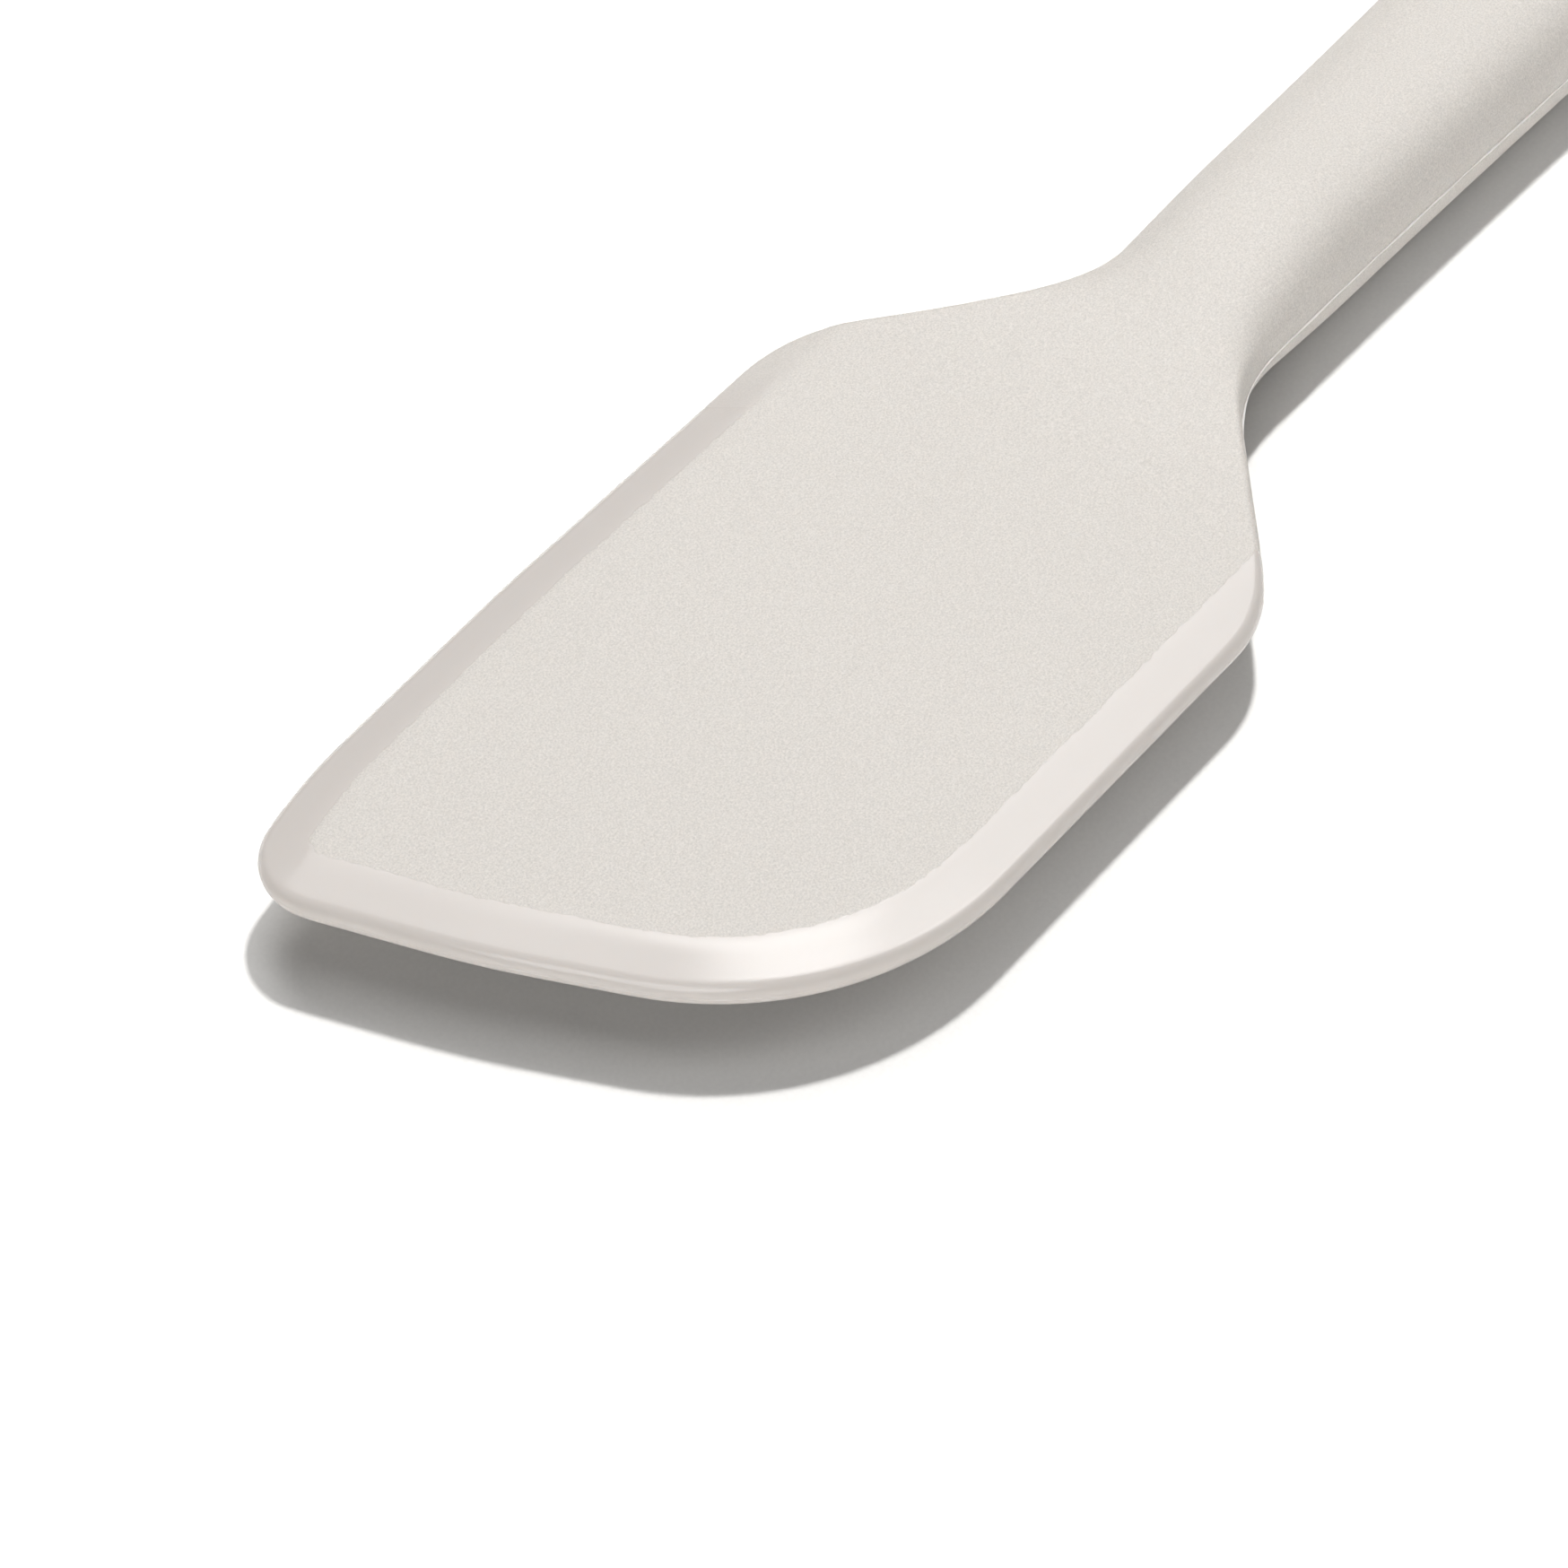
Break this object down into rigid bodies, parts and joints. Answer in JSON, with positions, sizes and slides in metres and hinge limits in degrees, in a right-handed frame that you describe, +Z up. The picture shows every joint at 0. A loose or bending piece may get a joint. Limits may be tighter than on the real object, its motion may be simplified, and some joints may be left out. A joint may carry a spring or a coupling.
{
  "type": "silicone spatula",
  "caption": "One-piece silicone bowl spatula: flat blade with a slanted, round-cornered tip and polished rim, and a thick rounded handle with a hanging hole.",
  "frame": {"origin": "centre of the bounding box at its lowest level, on the surface that the handle rests on", "axes": "+X along the spatula towards the blade's tip, +Y towards the side with the blade's large corner, +Z up, square to the blade's faces"},
  "size_m": [0.3099, 0.0631, 0.0174],
  "materials": {
    "silicone": "oat-coloured moulded silicone: fine spark-eroded matte faces and handle, polished bevel round the blade",
    "core_nylon": "natural glass-filled nylon, moulded, sealed inside the silicone"
  },
  "bodies": {
    "root": {"silicone_body": "silicone", "stiffening_core": "core_nylon"}
  },
  "joints": []
}
